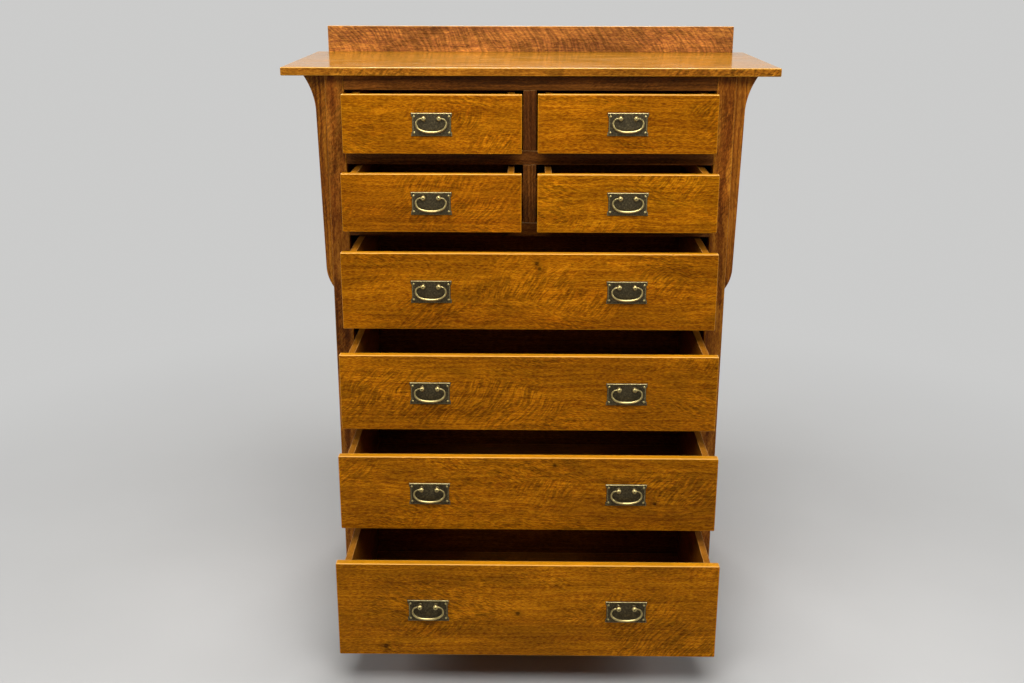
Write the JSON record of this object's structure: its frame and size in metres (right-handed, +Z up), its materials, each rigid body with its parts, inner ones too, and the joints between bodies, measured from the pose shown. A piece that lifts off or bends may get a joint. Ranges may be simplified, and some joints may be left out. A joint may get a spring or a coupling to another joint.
{
  "type": "chest of drawers",
  "caption": "Tall Mission-style oak chest of drawers with an overhanging top, low back board, long corbels and inset drawers standing open on telescopic slides.",
  "frame": {"origin": "on the floor, at the middle of the box that the chest takes up with its drawers standing open as stored", "axes": "+Z up, drawer fronts face -Y, +X to the right as seen from the front"},
  "size_m": [1.15, 0.9182, 1.463],
  "materials": {
    "oak_top": "quarter-sawn oak, warm honey-brown stain under a semi-gloss clear coat",
    "oak_case": "quarter-sawn oak, reddish-brown stain under a satin clear coat",
    "oak_front": "quarter-sawn oak with ray fleck, orange-brown stain under a satin clear coat",
    "oak_drawer": "solid wood stained to match the case, satin",
    "oak_inside": "plain sawn wood, unstained and dull",
    "back_ply": "thin plywood back, light brown, matt",
    "antique_brass": "antique brass, darkened in the hollows and rubbed bright on the edges",
    "slide_steel": "zinc-plated rolled steel"
  },
  "bodies": {
    "case": {"top_board": "oak_top", "backsplash": "oak_top", "front_posts": "oak_case", "rear_posts": "oak_case", "front_corbels": "oak_case", "rear_corbels": "oak_case", "side_panels": "oak_case", "side_and_back_rails": "oak_case", "back_panel": "back_ply", "top_rail": "oak_case", "drawer_rails": "oak_case", "bottom_rail": "oak_case", "centre_stiles": "oak_case", "centre_divider": "oak_inside", "slide_cleats": "oak_inside", "slide_outer_members": "slide_steel"},
    "drawer_1_left": {"drawer_1_left_front": "oak_front", "drawer_1_left_box": "oak_drawer", "drawer_1_left_hardware": "antique_brass"},
    "drawer_1_left_slide": {"drawer_1_left_slide_middle": "slide_steel"},
    "drawer_1_left_bail": {"drawer_1_left_bail": "antique_brass"},
    "drawer_1_right": {"drawer_1_right_front": "oak_front", "drawer_1_right_box": "oak_drawer", "drawer_1_right_hardware": "antique_brass"},
    "drawer_1_right_slide": {"drawer_1_right_slide_middle": "slide_steel"},
    "drawer_1_right_bail": {"drawer_1_right_bail": "antique_brass"},
    "drawer_2_left": {"drawer_2_left_front": "oak_front", "drawer_2_left_box": "oak_drawer", "drawer_2_left_hardware": "antique_brass"},
    "drawer_2_left_slide": {"drawer_2_left_slide_middle": "slide_steel"},
    "drawer_2_left_bail": {"drawer_2_left_bail": "antique_brass"},
    "drawer_2_right": {"drawer_2_right_front": "oak_front", "drawer_2_right_box": "oak_drawer", "drawer_2_right_hardware": "antique_brass"},
    "drawer_2_right_slide": {"drawer_2_right_slide_middle": "slide_steel"},
    "drawer_2_right_bail": {"drawer_2_right_bail": "antique_brass"},
    "drawer_3": {"drawer_3_front": "oak_front", "drawer_3_box": "oak_drawer", "drawer_3_hardware": "antique_brass"},
    "drawer_3_slide": {"drawer_3_slide_middle": "slide_steel"},
    "drawer_3_left_bail": {"drawer_3_left_bail": "antique_brass"},
    "drawer_3_right_bail": {"drawer_3_right_bail": "antique_brass"},
    "drawer_4": {"drawer_4_front": "oak_front", "drawer_4_box": "oak_drawer", "drawer_4_hardware": "antique_brass"},
    "drawer_4_slide": {"drawer_4_slide_middle": "slide_steel"},
    "drawer_4_left_bail": {"drawer_4_left_bail": "antique_brass"},
    "drawer_4_right_bail": {"drawer_4_right_bail": "antique_brass"},
    "drawer_5": {"drawer_5_front": "oak_front", "drawer_5_box": "oak_drawer", "drawer_5_hardware": "antique_brass"},
    "drawer_5_slide": {"drawer_5_slide_middle": "slide_steel"},
    "drawer_5_left_bail": {"drawer_5_left_bail": "antique_brass"},
    "drawer_5_right_bail": {"drawer_5_right_bail": "antique_brass"},
    "drawer_6": {"drawer_6_front": "oak_front", "drawer_6_box": "oak_drawer", "drawer_6_hardware": "antique_brass"},
    "drawer_6_slide": {"drawer_6_slide_middle": "slide_steel"},
    "drawer_6_left_bail": {"drawer_6_left_bail": "antique_brass"},
    "drawer_6_right_bail": {"drawer_6_right_bail": "antique_brass"}
  },
  "joints": [
    {"name": "drawer_1_left_travel", "type": "slide", "parent": "case", "child": "drawer_1_left", "axis": [0, -1, 0], "range_m": [-0.07075, 0.37424]},
    {"name": "drawer_1_left_slide_travel", "type": "slide", "parent": "case", "child": "drawer_1_left_slide", "axis": [0, -1, 0], "range_m": [-0.03538, 0.18712]},
    {"name": "drawer_1_left_bail_swing", "type": "hinge", "parent": "drawer_1_left", "child": "drawer_1_left_bail", "pos_m": [-0.225, -0.10184, 1.2855], "axis": [-1, 0, 0], "range_deg": [-12, 195]},
    {"name": "drawer_1_right_travel", "type": "slide", "parent": "case", "child": "drawer_1_right", "axis": [0, -1, 0], "range_m": [-0.06052, 0.38448]},
    {"name": "drawer_1_right_slide_travel", "type": "slide", "parent": "case", "child": "drawer_1_right_slide", "axis": [0, -1, 0], "range_m": [-0.03026, 0.19224]},
    {"name": "drawer_1_right_bail_swing", "type": "hinge", "parent": "drawer_1_right", "child": "drawer_1_right_bail", "pos_m": [0.225, -0.09161, 1.2855], "axis": [-1, 0, 0], "range_deg": [-12, 195]},
    {"name": "drawer_2_left_travel", "type": "slide", "parent": "case", "child": "drawer_2_left", "axis": [0, -1, 0], "range_m": [-0.12148, 0.32351]},
    {"name": "drawer_2_left_slide_travel", "type": "slide", "parent": "case", "child": "drawer_2_left_slide", "axis": [0, -1, 0], "range_m": [-0.06074, 0.16176]},
    {"name": "drawer_2_left_bail_swing", "type": "hinge", "parent": "drawer_2_left", "child": "drawer_2_left_bail", "pos_m": [-0.225, -0.15257, 1.1125], "axis": [-1, 0, 0], "range_deg": [-12, 195]},
    {"name": "drawer_2_right_travel", "type": "slide", "parent": "case", "child": "drawer_2_right", "axis": [0, -1, 0], "range_m": [-0.12104, 0.32396]},
    {"name": "drawer_2_right_slide_travel", "type": "slide", "parent": "case", "child": "drawer_2_right_slide", "axis": [0, -1, 0], "range_m": [-0.06052, 0.16198]},
    {"name": "drawer_2_right_bail_swing", "type": "hinge", "parent": "drawer_2_right", "child": "drawer_2_right_bail", "pos_m": [0.225, -0.15213, 1.1125], "axis": [-1, 0, 0], "range_deg": [-12, 195]},
    {"name": "drawer_3_travel", "type": "slide", "parent": "case", "child": "drawer_3", "axis": [0, -1, 0], "range_m": [-0.17177, 0.27323]},
    {"name": "drawer_3_slide_travel", "type": "slide", "parent": "case", "child": "drawer_3_slide", "axis": [0, -1, 0], "range_m": [-0.08589, 0.13661]},
    {"name": "drawer_3_left_bail_swing", "type": "hinge", "parent": "drawer_3", "child": "drawer_3_left_bail", "pos_m": [-0.225, -0.20286, 0.9165], "axis": [-1, 0, 0], "range_deg": [-12, 195]},
    {"name": "drawer_3_right_bail_swing", "type": "hinge", "parent": "drawer_3", "child": "drawer_3_right_bail", "pos_m": [0.225, -0.20286, 0.9165], "axis": [-1, 0, 0], "range_deg": [-12, 195]},
    {"name": "drawer_4_travel", "type": "slide", "parent": "case", "child": "drawer_4", "axis": [0, -1, 0], "range_m": [-0.25276, 0.19224]},
    {"name": "drawer_4_slide_travel", "type": "slide", "parent": "case", "child": "drawer_4_slide", "axis": [0, -1, 0], "range_m": [-0.12638, 0.09612]},
    {"name": "drawer_4_left_bail_swing", "type": "hinge", "parent": "drawer_4", "child": "drawer_4_left_bail", "pos_m": [-0.225, -0.28385, 0.6975], "axis": [-1, 0, 0], "range_deg": [-12, 195]},
    {"name": "drawer_4_right_bail_swing", "type": "hinge", "parent": "drawer_4", "child": "drawer_4_right_bail", "pos_m": [0.225, -0.28385, 0.6975], "axis": [-1, 0, 0], "range_deg": [-12, 195]},
    {"name": "drawer_5_travel", "type": "slide", "parent": "case", "child": "drawer_5", "axis": [0, -1, 0], "range_m": [-0.32396, 0.12104]},
    {"name": "drawer_5_slide_travel", "type": "slide", "parent": "case", "child": "drawer_5_slide", "axis": [0, -1, 0], "range_m": [-0.16198, 0.06052]},
    {"name": "drawer_5_left_bail_swing", "type": "hinge", "parent": "drawer_5", "child": "drawer_5_left_bail", "pos_m": [-0.225, -0.35504, 0.4785], "axis": [-1, 0, 0], "range_deg": [-12, 195]},
    {"name": "drawer_5_right_bail_swing", "type": "hinge", "parent": "drawer_5", "child": "drawer_5_right_bail", "pos_m": [0.225, -0.35504, 0.4785], "axis": [-1, 0, 0], "range_deg": [-12, 195]},
    {"name": "drawer_6_travel", "type": "slide", "parent": "case", "child": "drawer_6", "axis": [0, -1, 0], "range_m": [-0.42275, 0.02225]},
    {"name": "drawer_6_slide_travel", "type": "slide", "parent": "case", "child": "drawer_6_slide", "axis": [0, -1, 0], "range_m": [-0.21138, 0.01112]},
    {"name": "drawer_6_left_bail_swing", "type": "hinge", "parent": "drawer_6", "child": "drawer_6_left_bail", "pos_m": [-0.225, -0.45383, 0.2335], "axis": [-1, 0, 0], "range_deg": [-12, 195]},
    {"name": "drawer_6_right_bail_swing", "type": "hinge", "parent": "drawer_6", "child": "drawer_6_right_bail", "pos_m": [0.225, -0.45383, 0.2335], "axis": [-1, 0, 0], "range_deg": [-12, 195]}
  ],
  "couplings": [
    {"joint": "drawer_1_left_slide_travel", "follows": "drawer_1_left_travel", "ratio": 0.5},
    {"joint": "drawer_1_right_slide_travel", "follows": "drawer_1_right_travel", "ratio": 0.5},
    {"joint": "drawer_2_left_slide_travel", "follows": "drawer_2_left_travel", "ratio": 0.5},
    {"joint": "drawer_2_right_slide_travel", "follows": "drawer_2_right_travel", "ratio": 0.5},
    {"joint": "drawer_3_slide_travel", "follows": "drawer_3_travel", "ratio": 0.5},
    {"joint": "drawer_4_slide_travel", "follows": "drawer_4_travel", "ratio": 0.5},
    {"joint": "drawer_5_slide_travel", "follows": "drawer_5_travel", "ratio": 0.5},
    {"joint": "drawer_6_slide_travel", "follows": "drawer_6_travel", "ratio": 0.5}
  ]
}
